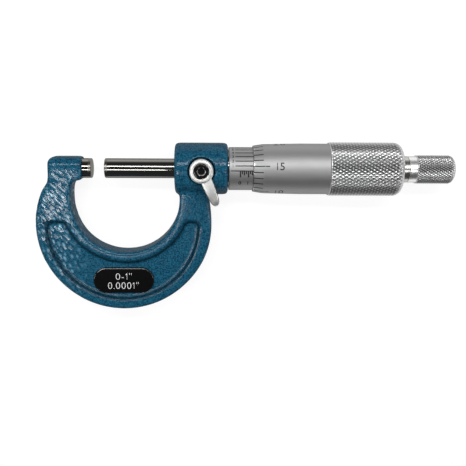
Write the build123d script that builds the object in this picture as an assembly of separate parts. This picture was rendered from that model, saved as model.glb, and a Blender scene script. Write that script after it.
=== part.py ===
from build123d import *
import math
import os

# Outside micrometer, 0 to 1 inch, lying on its back. Millimetres.
# X runs along the spindle from the anvil to the ratchet, Z points out of the front face, and the bow
# lies towards -Y. The origin is the centre of the anvil's measuring face.

# Screw and travel
travel = 25.4
rest_gap = 4.17

# Clearances
seat_clearance = 0.01
running_clearance = 0.02
face_clearance = 0.05
thimble_clearance = 0.25

# Anvil and spindle
spindle_dia = 6.35
tip_length = 1.0
tip_chamfer = 0.15
anvil_seat_depth = 8.4

# Frame casting: the throat, the anvil block and the bow round them
frame_thickness = 8.8
frame_edge_radius = 1.0
throat_radius = 17.5
throat_centre_x = 10.6
throat_centre_y = -9.5
throat_corner_radius = 1.4
block_overhang = 2.7
block_length = 10.4
block_above_axis = 3.8
block_below_axis = 3.7
block_corner_radius = 1.8
block_small_radius = 0.6
bow_margin = 10.55
bow_shift_x = -0.8
bow_shift_y = -8.7
bow_side_easing = 2.65
bow_side_from = -60.0
bow_right_tightening = 1.45
bow_right_from = -35.0
arm_radius = 45.0
arm_from = 0.0
arm_until = 13.0
outer_rim_width = 3.6
inner_rim_width = 3.3
web_recess_depth = 1.5
web_fillet_radius = 0.8
lobe_drop = 16.9
left_lobe_radius = 2.3
right_lobe_radius = 1.7
lobe_roundness = 0.44

# Head of the frame
head_lap = 1.5
head_length = 17.1
head_dia = 16.7
head_edge_radius = 1.2
head_wall = 1.9

# Label plate
label_length = 19.8
label_height = 8.6
label_shift_x = -0.15
label_thickness = 0.95
label_edge_radius = 0.4

# Outer sleeve
sleeve_dia = 13.9
sleeve_wall = 1.03
sleeve_seam = 0.2
sleeve_lead = 3.8
sleeve_beyond_scale = 3.1
sleeve_chamfer = 0.15
spanner_hole_dia = 1.6
spanner_hole_offset = 2.2

# Inner sleeve with its split nut
stem_dia = 9.6
stem_guide_length = 16.5
nut_length = 11.0
nut_slot_count = 4
nut_slot_width = 0.7
ring_nut_length = 4.0
ring_nut_clearance = 0.6
ring_nut_wall = 1.6
ring_nut_slot_width = 1.5
ring_nut_slot_depth = 0.6

# Spindle screw
thread_dia = 7.2
thread_relief = 0.5
thread_spare = 0.5
core_clearance = 0.15
taper_small_dia = 6.0
taper_length = 5.4
spigot_dia = 3.2
spigot_length = 6.2

# Thimble
thimble_edge_wall = 0.25
bevel_length = 3.3
bevel_rise = 0.5
swell_length = 12.0
swell_rise = 0.25
thimble_plain_length = 24.3
thimble_end_length = 7.9
grip_chamfer = 0.5
grip_rise = 0.5
grip_end_radius = 2.6

# Ratchet
collar_dia = 8.54
collar_wall = 0.87
stator_collar_length = 2.1
collar_groove = 0.15
knob_collar_length = 2.4
knob_dia = 9.34
knob_chamfer = 0.4
knob_end_radius = 1.8
knob_length = 12.7
knob_bore_clearance = 0.2
knob_web = 1.6
knob_web_offset = 8.0
ratchet_shaft_dia = 3.5
crown_length = 0.9
tooth_count = 16
tooth_height = 0.35
clutch_length = 1.9
clutch_key_width = 1.0
clutch_key_height = 0.55
spring_wire = 0.5
spring_dia = 5.5
spring_turns = 6
ratchet_screw_dia = 2.0
ratchet_screw_length = 5.5
ratchet_screw_head_dia = 4.2
ratchet_screw_head_length = 1.3
screw_slot_width = 0.5
screw_slot_depth = 0.5
ratchet_washer_dia = 4.6
ratchet_washer_thickness = 0.3
recess_clearance = 0.2

# Spindle lock
lock_shift = 0.05
lock_recess_dia = 8.7
lock_recess_depth = 2.05
stud_dia = 5.0
stud_square_height = 0.9
lock_washer_dia = 7.0
lock_washer_thickness = 0.2
lever_ring_dia = 7.6
lever_ring_stand = 1.65
lever_ring_edge = 0.6
lever_angle = -69.0
lever_reach = 12.0
lever_shift = 0.86
lever_root_width = 3.4
lever_tip_width = 2.2
lever_bulge = 0.15
lever_lift = 0.15
lever_thickness = 1.1
lever_edge = 0.35
lock_screw_head_dia = 5.0
lock_screw_head_drop = 0.3
lock_screw_head_height = 2.0
lock_screw_dia = 2.4
lock_screw_length = 2.2
hex_key_size = 2.5
hex_key_depth = 1.2
shoe_dia = 3.4
shoe_gap = 0.12

# Worked out from the values above: frame
spindle_radius = spindle_dia / 2
half_thickness = frame_thickness / 2
head_radius = head_dia / 2
throat_left = throat_centre_x - throat_radius
throat_right = throat_centre_x + throat_radius
block_right = throat_left + block_overhang
block_left = block_right - block_length
bow_radius = throat_radius + bow_margin
bow_side_radius = bow_radius + bow_side_easing
bow_right_radius = bow_radius - bow_right_tightening
bow_centre_x = throat_centre_x + bow_shift_x
bow_centre_y = throat_centre_y + bow_shift_y
web_outer_radius = bow_radius - outer_rim_width
web_inner_radius = throat_radius + inner_rim_width
web_floor = half_thickness - web_recess_depth
label_centre_x = bow_centre_x + label_shift_x
label_centre_y = (bow_centre_y - web_outer_radius + throat_centre_y - web_inner_radius) / 2
head_start = throat_right - head_lap
head_end = head_start + head_length

# Sleeves and screw
stem_start = head_start + head_wall
stem_radius = stem_dia / 2
sleeve_start = head_end + sleeve_seam
sleeve_zero = head_end + sleeve_lead
sleeve_end = sleeve_zero + travel + sleeve_beyond_scale
sleeve_radius = sleeve_dia / 2
sleeve_bore_radius = sleeve_radius - sleeve_wall
barrel_radius = sleeve_bore_radius - running_clearance
nut_start = sleeve_end + nut_slot_width
nut_end = nut_start + nut_length
thread_radius = thread_dia / 2
open_travel = travel - rest_gap
thread_start = nut_start - open_travel - thread_spare
thread_end = nut_end + rest_gap
cavity_end = thread_end + 4 * face_clearance
taper_start = cavity_end
taper_end = taper_start + taper_length

# Thimble
thimble_edge = sleeve_zero + rest_gap
thimble_bore_radius = sleeve_radius + thimble_clearance
thimble_edge_radius = thimble_bore_radius + thimble_edge_wall
thimble_front_radius = thimble_edge_radius + bevel_rise
thimble_radius = thimble_front_radius + swell_rise
grip_radius = thimble_radius + grip_rise
grip_start = thimble_edge + thimble_plain_length
grip_end = cavity_end + thimble_end_length
ring_nut_radius = thimble_bore_radius - ring_nut_clearance
nut_thread_radius = ring_nut_radius - ring_nut_wall

# Ratchet
collar_radius = collar_dia / 2
crown_radius = collar_radius - collar_wall
shaft_radius = ratchet_shaft_dia / 2
stator_start = grip_end + face_clearance
stator_end = stator_start + stator_collar_length
knob_start = stator_end + collar_groove
crown_end = stator_end + crown_length
clutch_start = crown_end + face_clearance
clutch_end = clutch_start + clutch_length
knob_grip_start = knob_start + knob_collar_length
knob_end = knob_grip_start + knob_length
knob_web_start = knob_grip_start + knob_web_offset
knob_web_end = knob_web_start + knob_web
shaft_end = knob_web_end + 2 * face_clearance
ratchet_head_start = shaft_end + ratchet_washer_thickness + 2 * face_clearance

# Lock
lock_x = (head_start + head_end) / 2 + lock_shift
lock_recess_floor = head_radius - lock_recess_depth
stud_bottom = stem_radius + 2 * face_clearance
stud_square = stud_dia / math.sqrt(2) - face_clearance
washer_top = lock_recess_floor + lock_washer_thickness
lever_floor = washer_top + face_clearance
square_top = lever_floor + stud_square_height
lever_seat = square_top + face_clearance
lever_bottom = head_radius + lever_lift
lever_ring_top = head_radius + lever_ring_stand
lock_head_top = lever_ring_top - lock_screw_head_drop
lock_head_bottom = lock_head_top - lock_screw_head_height
shoe_bottom = spindle_radius + shoe_gap


# How a box or cylinder lies on its position
UPWARDS = (Align.CENTER, Align.CENTER, Align.MIN)
ALONG_X = (Align.MIN, Align.CENTER, Align.CENTER)


def turned(*profile):
    """A solid turned about the X axis from (x, radius) points."""
    return revolve(make_face(Polyline(*profile, close=True)), Axis.X)


def rod(start, end, radius):
    """A plain cylinder along the X axis."""
    return turned((start, 0), (end, 0), (end, radius), (start, radius))


def post(bottom, top, radius):
    """A cylinder along Z at the lock."""
    upright = Cylinder(radius, top - bottom, align=UPWARDS)
    return Pos(lock_x, 0, bottom) * upright


def corners_near(face, points):
    """The corners of a face that lie at the given points."""
    return [min(face.vertices(), key=lambda v: math.hypot(v.X - x, v.Y - y)) for x, y in points]


def block_meets_bow():
    """Height at which the bow's circle meets the outer side of the anvil block."""
    return bow_centre_y + math.sqrt(bow_radius**2 - (block_left - bow_centre_x) ** 2)


def bow_face():
    """The area inside the bow's outer edge, a chain of tangent arcs, closed straight at the axis."""
    stretches = [
        (bow_radius, bow_side_from),
        (bow_side_radius, bow_right_from),
        (bow_right_radius, arm_from),
        (arm_radius, arm_until),
    ]
    centre = Vector(bow_centre_x, bow_centre_y)
    angle = -180 - math.degrees(math.asin((block_meets_bow() - bow_centre_y) / bow_radius))
    arcs = []
    last_radius = bow_radius
    for radius, until in stretches:
        outward = Vector(math.cos(math.radians(angle)), math.sin(math.radians(angle)))
        centre = centre + outward * (last_radius - radius)
        arcs.append(CenterArc(centre, radius, angle, until - angle))
        angle = until
        last_radius = radius
    first = arcs[0] @ 0
    last = arcs[-1] @ 1
    closing = Polyline(last, (last.X, 0), (first.X, 0), first)
    return make_face(arcs + [closing])


def throat_face():
    """The throat of the frame: a circle open towards +Y."""
    middle = Pos(throat_centre_x, throat_centre_y)
    slot = Rectangle(2 * throat_radius, bow_radius, align=(Align.CENTER, Align.MIN))
    return middle * Circle(throat_radius) + middle * slot


def web_face():
    """The crescent between the rims of the bow, with rounded lobes no rounder than they are wide."""
    outer = Pos(bow_centre_x, bow_centre_y) * Circle(web_outer_radius)
    inner = Pos(throat_centre_x, throat_centre_y) * Circle(web_inner_radius)
    above = Rectangle(4 * bow_radius, 2 * bow_radius, align=(Align.CENTER, Align.MIN))
    face = outer - inner - Pos(bow_centre_x, -lobe_drop) * above
    for side, radius in ((-1, left_lobe_radius), (1, right_lobe_radius)):
        corners = [v for v in face.vertices() if side * (v.X - bow_centre_x) > 0]
        tops = [v for v in corners if abs(v.Y + lobe_drop) < seat_clearance]
        width = abs(tops[0].X - tops[1].X)
        face = fillet(tops, min(radius, width * lobe_roundness))
    return face


def make_frame():
    block = Pos(block_left, -block_below_axis) * Rectangle(
        block_length, block_above_axis + block_below_axis, align=(Align.MIN, Align.MIN)
    )
    face = bow_face() - throat_face() + block
    face = fillet(corners_near(face, [(block_left, block_above_axis)]), block_corner_radius)
    face = fillet(corners_near(face, [(throat_left, -block_below_axis)]), throat_corner_radius)
    small = [
        (block_right, block_above_axis),
        (block_right, -block_below_axis),
        (block_left, block_meets_bow()),
    ]
    face = fillet(corners_near(face, small), block_small_radius)
    plate = extrude(face, half_thickness, both=True)
    rims = plate.edges().filter_by(lambda e: abs(abs(e.center().Z) - half_thickness) < seat_clearance)
    plate = fillet(rims, frame_edge_radius)
    head = rod(head_start, head_end, head_radius)
    head = fillet(head.edges().filter_by(GeomType.CIRCLE), head_edge_radius)
    body = plate + head
    recess = extrude(web_face(), half_thickness)
    recess = fillet(recess.edges().group_by(Axis.Z)[0], web_fillet_radius)
    recess = Pos(0, 0, web_floor) * recess
    body = body - recess - mirror(recess, Plane.XY)
    body = body - rod(block_right - anvil_seat_depth, 0, spindle_radius + seat_clearance)
    body = body - rod(head_start, stem_start, spindle_radius + face_clearance)
    body = body - rod(stem_start, head_end, stem_radius + seat_clearance)
    counterbore = post(lock_recess_floor, 2 * head_radius, lock_recess_dia / 2)
    thread = post(stem_radius / 2, 2 * head_radius, stud_dia / 2 + running_clearance)
    return body - counterbore - thread


def make_anvil():
    pin = rod(block_right - anvil_seat_depth + face_clearance, -tip_length, spindle_radius)
    left = pin.edges().filter_by(GeomType.CIRCLE).sort_by(Axis.X)[0]
    return chamfer(left, tip_chamfer)


def make_tip(start):
    """A hard-metal disc, chamfered at its measuring face. It is made for the spindle, facing -X."""
    disc = rod(start, start + tip_length, spindle_radius)
    return chamfer(disc.edges().filter_by(GeomType.CIRCLE).sort_by(Axis.X)[0], tip_chamfer)


def make_label_plate():
    plate = extrude(SlotOverall(label_length, label_height), label_thickness)
    plate = fillet(plate.edges().group_by(Axis.Z)[-1], label_edge_radius)
    return Pos(label_centre_x, label_centre_y, web_floor) * plate


def make_inner_sleeve():
    guide_end = stem_start + stem_guide_length
    bore = spindle_radius + running_clearance
    relief = thread_radius + core_clearance
    body = turned(
        (stem_start, bore),
        (stem_start, stem_radius),
        (head_end, stem_radius),
        (head_end, barrel_radius),
        (nut_start, barrel_radius),
        (nut_start, nut_thread_radius),
        (nut_end, nut_thread_radius),
        (nut_end, thread_radius + running_clearance),
        (nut_start, thread_radius + running_clearance),
        (nut_start, relief),
        (guide_end, relief),
        (guide_end, bore),
    )
    slot = Pos(nut_start + nut_slot_width, 0, 0) * Box(
        nut_length, nut_slot_width, 2 * nut_thread_radius, align=(Align.MIN, Align.CENTER, Align.MIN)
    )
    for index in range(nut_slot_count):
        body = body - Rot(X=index * 360 / nut_slot_count) * slot
    return body - post(0, stem_dia, shoe_dia / 2 + running_clearance)


def make_adjusting_nut():
    start = nut_end - ring_nut_length - nut_slot_width
    ring = turned(
        (start, nut_thread_radius + running_clearance),
        (start, ring_nut_radius),
        (start + ring_nut_length, ring_nut_radius),
        (start + ring_nut_length, nut_thread_radius + running_clearance),
    )
    notch = Pos(start, 0, ring_nut_radius - ring_nut_slot_depth) * Box(
        ring_nut_length, ring_nut_slot_width, ring_nut_radius, align=(Align.MIN, Align.CENTER, Align.MIN)
    )
    for index in range(2):
        ring = ring - Rot(X=index * 180) * notch
    return ring


def make_outer_sleeve():
    sleeve = turned(
        (sleeve_start, sleeve_bore_radius),
        (sleeve_start, sleeve_radius - sleeve_chamfer),
        (sleeve_start + sleeve_chamfer, sleeve_radius),
        (sleeve_end - sleeve_chamfer, sleeve_radius),
        (sleeve_end, sleeve_radius - sleeve_chamfer),
        (sleeve_end, sleeve_bore_radius),
    )
    hole = Pos(sleeve_start + spanner_hole_offset, 0, 0) * Cylinder(
        spanner_hole_dia / 2, sleeve_dia, align=(Align.CENTER, Align.CENTER, Align.MAX)
    )
    return sleeve - hole


def make_spindle():
    relief = spindle_radius - core_clearance
    body = turned(
        (rest_gap + tip_length, 0),
        (rest_gap + tip_length, spindle_radius),
        (thread_start - thread_relief, spindle_radius),
        (thread_start - thread_relief, relief),
        (thread_start, relief),
        (thread_start, thread_radius),
        (thread_end, thread_radius),
        (thread_end, relief),
        (taper_start, relief),
        (taper_end, taper_small_dia / 2),
        (taper_end, 0),
    )
    return body - rod(taper_end - spigot_length, taper_end, spigot_dia / 2)


def make_thimble():
    bevel_end = thimble_edge + bevel_length
    body = turned(
        (thimble_edge, thimble_bore_radius),
        (thimble_edge, thimble_edge_radius),
        (bevel_end, thimble_front_radius),
        (bevel_end + swell_length, thimble_radius),
        (grip_start, thimble_radius),
        (grip_start + grip_chamfer, grip_radius),
        (grip_end, grip_radius),
        (grip_end, 0),
        (cavity_end, 0),
        (cavity_end, thimble_bore_radius),
    )
    rim = body.edges().filter_by(GeomType.CIRCLE).sort_by(Axis.X)[-1]
    body = fillet(rim, grip_end_radius)
    relief = spindle_radius - core_clearance + seat_clearance
    small = taper_small_dia / 2 + seat_clearance
    seat = turned(
        (cavity_end - face_clearance, 0),
        (cavity_end - face_clearance, relief),
        (taper_start, relief),
        (taper_end, small),
        (grip_end, small),
        (grip_end, 0),
    )
    return body - seat


def face_teeth(plane_x, inwards):
    """Wedges that cut saw teeth into a ring's face at plane_x, towards the side inwards, +1 or -1."""
    width = crown_radius * math.tan(math.pi / tooth_count) + seat_clearance
    corners = [(plane_x, -width), (plane_x + inwards * tooth_height, -width), (plane_x, width)]
    wedge = extrude(make_face(Polyline(*corners, close=True)), 2 * crown_radius)
    return [Rot(X=index * 360 / tooth_count) * wedge for index in range(tooth_count)]


def make_ratchet_stator():
    spigot_start = taper_end - spigot_length + face_clearance
    body = turned(
        (spigot_start, 0),
        (spigot_start, spigot_dia / 2 - seat_clearance),
        (stator_start, spigot_dia / 2 - seat_clearance),
        (stator_start, collar_radius),
        (stator_end, collar_radius),
        (stator_end, shaft_radius),
        (shaft_end, shaft_radius),
        (shaft_end, 0),
    )
    crown = rod(stator_end, crown_end, crown_radius)
    for cut in face_teeth(crown_end, -1):
        crown = crown - cut
    hole_start = shaft_end - ratchet_screw_length - face_clearance
    return body + crown - rod(hole_start, shaft_end, ratchet_screw_dia / 2)


def make_ratchet_clutch():
    ring = rod(clutch_start, clutch_end, crown_radius)
    for cut in face_teeth(clutch_start, 1):
        ring = ring - cut
    lug_start = clutch_start + 2 * tooth_height
    lug = Pos(lug_start, 0, 0) * Box(
        clutch_end - lug_start,
        2 * (crown_radius + clutch_key_height),
        clutch_key_width,
        align=ALONG_X,
    )
    return ring + lug - rod(clutch_start, clutch_end, shaft_radius + face_clearance)


def make_ratchet_spring():
    length = knob_web_start - clutch_end - spring_wire - 2 * face_clearance
    path = Helix(pitch=length / spring_turns, height=length, radius=spring_dia / 2)
    section = Plane(origin=path @ 0, z_dir=path % 0) * Circle(spring_wire / 2)
    coil = sweep(section, path=path)
    return Pos(clutch_end + face_clearance + spring_wire / 2, 0, 0) * Rot(Y=90) * coil


def make_ratchet_knob():
    chamfer_end = knob_grip_start + knob_chamfer
    body = turned(
        (knob_start, 0),
        (knob_start, collar_radius),
        (knob_grip_start, collar_radius),
        (chamfer_end, knob_dia / 2),
        (knob_end, knob_dia / 2),
        (knob_end, 0),
    )
    rim = body.edges().filter_by(GeomType.CIRCLE).sort_by(Axis.X)[-1]
    body = fillet(rim, knob_end_radius)
    body = body - rod(knob_start, knob_web_start, crown_radius + knob_bore_clearance)
    body = body - rod(knob_web_start, knob_web_end, shaft_radius + face_clearance)
    body = body - rod(knob_web_end, knob_end, ratchet_washer_dia / 2 + recess_clearance)
    keyway = Pos(knob_start, 0, 0) * Box(
        knob_web_start - knob_start,
        2 * (crown_radius + clutch_key_height + face_clearance),
        clutch_key_width + 2 * face_clearance,
        align=ALONG_X,
    )
    return body - keyway


def make_ratchet_washer():
    start = shaft_end + face_clearance
    end = start + ratchet_washer_thickness
    bore = ratchet_screw_dia / 2 + face_clearance
    radius = ratchet_washer_dia / 2
    return turned((start, bore), (end, bore), (end, radius), (start, radius))


def make_ratchet_screw():
    head_end = ratchet_head_start + ratchet_screw_head_length
    shank_radius = ratchet_screw_dia / 2 - seat_clearance
    shank = rod(shaft_end - ratchet_screw_length, ratchet_head_start, shank_radius)
    head = rod(ratchet_head_start, head_end, ratchet_screw_head_dia / 2)
    slot = Pos(head_end, 0, 0) * Box(2 * screw_slot_depth, 2 * ratchet_screw_head_dia, screw_slot_width)
    return shank + head - slot


def make_lock_stud():
    stud = post(stud_bottom, lock_recess_floor, stud_dia / 2)
    square = Pos(lock_x, 0, lock_recess_floor) * Rot(Z=lever_angle) * Box(
        stud_square, stud_square, square_top - lock_recess_floor, align=UPWARDS
    )
    hole_bottom = lock_head_bottom - lock_screw_length
    return stud + square - post(hole_bottom, 2 * head_radius, lock_screw_dia / 2)


def make_lock_washer():
    bore = stud_dia / 2 + face_clearance
    ring = post(lock_recess_floor, washer_top, lock_washer_dia / 2)
    return ring - post(lock_recess_floor, washer_top, bore)


def make_lock_lever():
    ring = post(lever_floor, lever_ring_top, lever_ring_dia / 2)
    ring = fillet(ring.edges().group_by(Axis.Z)[-1], lever_ring_edge)
    half_root = lever_root_width / 2
    half_tip = lever_tip_width / 2
    neck = lever_reach - half_tip
    waist = (half_root + half_tip) / 2 + lever_bulge
    side = ThreePointArc((0, half_root), (neck / 2, waist), (neck, half_tip))
    tip = ThreePointArc((neck, half_tip), (lever_reach, 0), (neck, -half_tip))
    other = ThreePointArc((neck, -half_tip), (neck / 2, -waist), (0, -half_root))
    back = Line((0, -half_root), (0, half_root))
    blade = extrude(make_face([side, tip, other, back]), lever_thickness)
    blade = fillet(blade.edges().group_by(Axis.Z)[-1], lever_edge)
    blade = Pos(lock_x, 0, lever_bottom) * Rot(Z=lever_angle) * Pos(0, lever_shift, 0) * blade
    socket = Pos(lock_x, 0, lever_floor) * Rot(Z=lever_angle) * Box(
        stud_square + 2 * running_clearance,
        stud_square + 2 * running_clearance,
        lever_ring_top,
        align=UPWARDS,
    )
    head_bore = post(lever_seat, 2 * lever_ring_top, lock_screw_head_dia / 2 + face_clearance)
    return ring + blade - socket - head_bore


def make_lock_screw():
    head = post(lock_head_bottom, lock_head_top, lock_screw_head_dia / 2)
    head = fillet(head.edges().group_by(Axis.Z)[-1], lever_edge)
    shank_radius = lock_screw_dia / 2 - seat_clearance
    shank = post(lock_head_bottom - lock_screw_length, lock_head_bottom, shank_radius)
    key = Pos(lock_x, 0, lock_head_top) * extrude(
        RegularPolygon(hex_key_size / 2, 6, major_radius=False), -hex_key_depth
    )
    return head + shank - key


def make_lock_shoe():
    return post(shoe_bottom, stud_bottom - face_clearance, shoe_dia / 2)


nodes = {
    "frame": make_frame(),
    "anvil": make_anvil(),
    "anvil_tip": mirror(make_tip(0), Plane.YZ),
    "label_plate": make_label_plate(),
    "inner_sleeve": make_inner_sleeve(),
    "adjusting_nut": make_adjusting_nut(),
    "outer_sleeve": make_outer_sleeve(),
    "spindle_tip": make_tip(rest_gap),
    "spindle": make_spindle(),
    "thimble": make_thimble(),
    "ratchet_stator": make_ratchet_stator(),
    "ratchet_clutch": make_ratchet_clutch(),
    "ratchet_spring": make_ratchet_spring(),
    "ratchet_knob": make_ratchet_knob(),
    "ratchet_washer": make_ratchet_washer(),
    "ratchet_screw": make_ratchet_screw(),
    "lock_stud": make_lock_stud(),
    "lock_washer": make_lock_washer(),
    "lock_lever": make_lock_lever(),
    "lock_screw": make_lock_screw(),
    "lock_shoe": make_lock_shoe(),
}

os.makedirs("parts", exist_ok=True)
for name, solid in nodes.items():
    export_step(solid, f"parts/{name}.step")
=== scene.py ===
import math

import bmesh
import bpy
from mathutils import Matrix, Vector, noise


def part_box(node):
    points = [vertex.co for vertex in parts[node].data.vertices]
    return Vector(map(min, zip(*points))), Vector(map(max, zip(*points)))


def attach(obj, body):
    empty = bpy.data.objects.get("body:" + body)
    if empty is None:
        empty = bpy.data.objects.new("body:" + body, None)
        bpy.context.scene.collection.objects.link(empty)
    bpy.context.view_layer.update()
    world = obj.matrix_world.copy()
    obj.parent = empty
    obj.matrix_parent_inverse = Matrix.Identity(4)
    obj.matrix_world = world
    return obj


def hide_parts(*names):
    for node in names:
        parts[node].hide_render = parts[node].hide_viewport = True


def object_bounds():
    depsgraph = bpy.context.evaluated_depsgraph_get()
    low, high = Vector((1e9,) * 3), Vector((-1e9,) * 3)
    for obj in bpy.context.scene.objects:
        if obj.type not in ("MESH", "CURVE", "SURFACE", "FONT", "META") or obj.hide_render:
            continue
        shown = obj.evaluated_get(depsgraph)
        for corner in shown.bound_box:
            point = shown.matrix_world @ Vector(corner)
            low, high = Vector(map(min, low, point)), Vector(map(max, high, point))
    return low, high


# Looks of an outside micrometer, 0 to 1 inch. Lengths are in millimetres and are turned into metres where a
# mesh, lamp or camera is made. X runs along the spindle, Z points out of the front face.
MM = 0.001

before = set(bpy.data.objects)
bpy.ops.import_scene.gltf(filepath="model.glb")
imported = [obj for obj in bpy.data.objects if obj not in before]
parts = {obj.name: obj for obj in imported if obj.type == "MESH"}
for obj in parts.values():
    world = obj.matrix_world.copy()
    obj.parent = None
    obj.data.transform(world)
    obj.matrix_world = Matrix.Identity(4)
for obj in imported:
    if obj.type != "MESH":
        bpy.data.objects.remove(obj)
cad_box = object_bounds()
slot_of = {name: part.data.materials[0].name for name, part in parts.items()}


def low(node):
    """A node's lowest corner in millimetres."""
    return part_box(node)[0] / MM


def high(node):
    """A node's highest corner in millimetres."""
    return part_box(node)[1] / MM


# ---------------------------------------------------------------- camera
PHOTO_SIZE = 466
FOCAL_PIXELS = 674.4
SENSOR = 36.0
CAMERA_PLACE = Vector((37.88, 23.08, 218.55))
CAMERA_TARGET = Vector((45.53, -21.32, 0.0))
CAMERA_ROLL = 0.008
CLIP_NEAR = 10.0
CLIP_FAR = 20000.0


def make_camera():
    data = bpy.data.cameras.new("camera")
    data.sensor_width = SENSOR
    data.sensor_fit = "HORIZONTAL"
    data.lens = FOCAL_PIXELS / PHOTO_SIZE * SENSOR
    data.clip_start = CLIP_NEAR * MM
    data.clip_end = CLIP_FAR * MM
    camera = bpy.data.objects.new("camera", data)
    bpy.context.scene.collection.objects.link(camera)
    ahead = (CAMERA_TARGET - CAMERA_PLACE).normalized()
    right = ahead.cross(Vector((0, 1, 0))).normalized()
    up = right.cross(ahead)
    rolled_right = math.cos(CAMERA_ROLL) * right + math.sin(CAMERA_ROLL) * up
    rolled_up = math.cos(CAMERA_ROLL) * up - math.sin(CAMERA_ROLL) * right
    axes = Matrix((rolled_right, rolled_up, -ahead)).transposed().to_4x4()
    camera.matrix_world = Matrix.Translation(CAMERA_PLACE * MM) @ axes
    bpy.context.scene.camera = camera


# ---------------------------------------------------------------- lamps, world and floor
LOW_LAMPS = 150.0
SIDE_LAMPS = 230.0
HIGH_LAMPS = 300.0
WHITE = (1.0, 1.0, 1.0, 1.0)
HORIZON_GLOW = 0.34
DOME_GLOW = 0.06
EVEN_GLOW = 0.12
# the height of a ray's direction over which the glow fades, and how it rises to the ends and the far side
GLOW_START = -0.04
GLOW_END = 0.30
ENDS_START = 0.25
ENDS_RISE = 0.9
FAR_RISE = 0.07
FLOOR_HALF = 3000.0
FLOOR_GREY = (0.20, 0.20, 0.20, 1.0)
FLOOR_GLOW_NEAR = 0.88
FLOOR_GLOW_FAR = 0.70
FLOOR_FADE_START = 100.0
FLOOR_FADE_END = 600.0


def lamp(name, place, size_x, size_y, radiance, aim=(45.0, 0.0, 0.0)):
    """A rectangular lamp, in millimetres, that faces the point aim and has the same radiance all over."""
    data = bpy.data.lights.new(name, "AREA")
    data.shape = "RECTANGLE"
    data.size = size_x * MM
    data.size_y = size_y * MM
    data.energy = radiance * math.pi * data.size * data.size_y
    lit = bpy.data.objects.new(name, data)
    bpy.context.scene.collection.objects.link(lit)
    back = (Vector(place) - Vector(aim)).normalized()
    side = Vector((0, 1, 0)).cross(back).normalized()
    axes = Matrix((side, back.cross(side), back)).transposed().to_4x4()
    lit.matrix_world = Matrix.Translation(Vector(place) * MM) @ axes
    lit.visible_camera = False


def lamp_overhead(name, x, y, size_x, size_y, radiance):
    """A rectangular lamp at LOW_LAMPS that faces straight down."""
    lamp(name, (x, y, LOW_LAMPS), size_x, size_y, radiance, aim=(x, y, 0.0))


def make_lamps():
    """A long strip at the far side for the upper line of light on the metal, and small lamps for the rest.

    Those named below are for the lower lines and the hammered arm, and two pairs stand at the ends.
    """
    lamp("strip_above", (45.0, 152.0, HIGH_LAMPS), 430.0, 34.0, 16.5)
    lamp_overhead("left_below", -52.0, -34.0, 28.0, 14.0, 32.0)
    lamp_overhead("middle_below", -12.0, -36.0, 52.0, 12.0, 13.0)
    lamp_overhead("thimble_below", 90.0, -37.0, 74.0, 13.0, 1.4)
    lamp_overhead("grip_middle", 150.0, -13.0, 72.0, 16.0, 2.6)
    lamp("grip_far", (110.0, 290.0, HIGH_LAMPS), 120.0, 60.0, 5.0, aim=(95.0, 0.0, 0.0))
    lamp("right_below", (210.0, -37.0, LOW_LAMPS), 165.0, 13.0, 5.0, aim=(110.0, 0.0, 0.0))
    for side, x, aim_x, radiance in (("left", -190.0, 0.0, 14.0), ("right", 265.0, 60.0, 8.0)):
        lamp(side + "_low", (x, -60.0, SIDE_LAMPS), 20.0, 70.0, radiance, aim=(aim_x, -20.0, 0.0))
        lamp(side + "_high", (x, 117.0, SIDE_LAMPS), 20.0, 56.0, radiance, aim=(aim_x, 0.0, 0.0))


def node(tree, kind, settings=None, **sockets):
    """A shader node. Settings are its attributes. A socket is given a value, or another node's output."""
    made = tree.nodes.new(kind)
    for key, value in (settings or {}).items():
        setattr(made, key, value)
    for key, value in sockets.items():
        socket = made.inputs[key.replace("_", " ")]
        if isinstance(value, bpy.types.NodeSocket):
            tree.links.new(value, socket)
        else:
            socket.default_value = value
    return made


def maths(tree, operation, first, second=0.0):
    made = tree.nodes.new("ShaderNodeMath")
    made.operation = operation
    for socket, value in zip(made.inputs, (first, second)):
        if isinstance(value, bpy.types.NodeSocket):
            tree.links.new(value, socket)
        else:
            socket.default_value = value
    return made.outputs[0]


def seen_directly(tree):
    """1 for camera, glossy and transmission rays, 0 for diffuse ones."""
    path = node(tree, "ShaderNodeLightPath")
    seen = maths(tree, "ADD", path.outputs["Is Camera Ray"], path.outputs["Is Glossy Ray"])
    seen = maths(tree, "ADD", seen, path.outputs["Is Transmission Ray"])
    return maths(tree, "MINIMUM", seen, 1.0)


def make_world():
    """Grey round the horizon and dim above for rays that are seen, and an even dim grey for the rest.

    The lighter grey reaches higher at the far side (+Y) than at the near side, and highest at the two ends.
    """
    world = bpy.data.worlds.new("studio")
    bpy.context.scene.world = world
    world.use_nodes = True
    tree = world.node_tree
    tree.nodes.clear()
    direction = node(tree, "ShaderNodeTexCoord").outputs["Generated"]
    axes = node(tree, "ShaderNodeSeparateXYZ", Vector=direction)
    sideways = maths(tree, "SUBTRACT", maths(tree, "ABSOLUTE", axes.outputs["X"]), ENDS_START)
    ends = maths(tree, "MULTIPLY", maths(tree, "MAXIMUM", sideways, 0.0), ENDS_RISE)
    far = maths(tree, "MULTIPLY", axes.outputs["Y"], FAR_RISE)
    height = maths(tree, "SUBTRACT", axes.outputs["Z"], maths(tree, "ADD", ends, far))
    fade = node(
        tree,
        "ShaderNodeMapRange",
        {"interpolation_type": "SMOOTHSTEP"},
        Value=height,
        From_Min=GLOW_START,
        From_Max=GLOW_END,
        To_Min=HORIZON_GLOW,
        To_Max=DOME_GLOW,
    ).outputs[0]
    seen = seen_directly(tree)
    strength = blend_values(tree, seen, EVEN_GLOW, fade)
    glow = node(tree, "ShaderNodeBackground", Color=WHITE, Strength=strength)
    node(tree, "ShaderNodeOutputWorld", Surface=glow.outputs[0])


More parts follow.
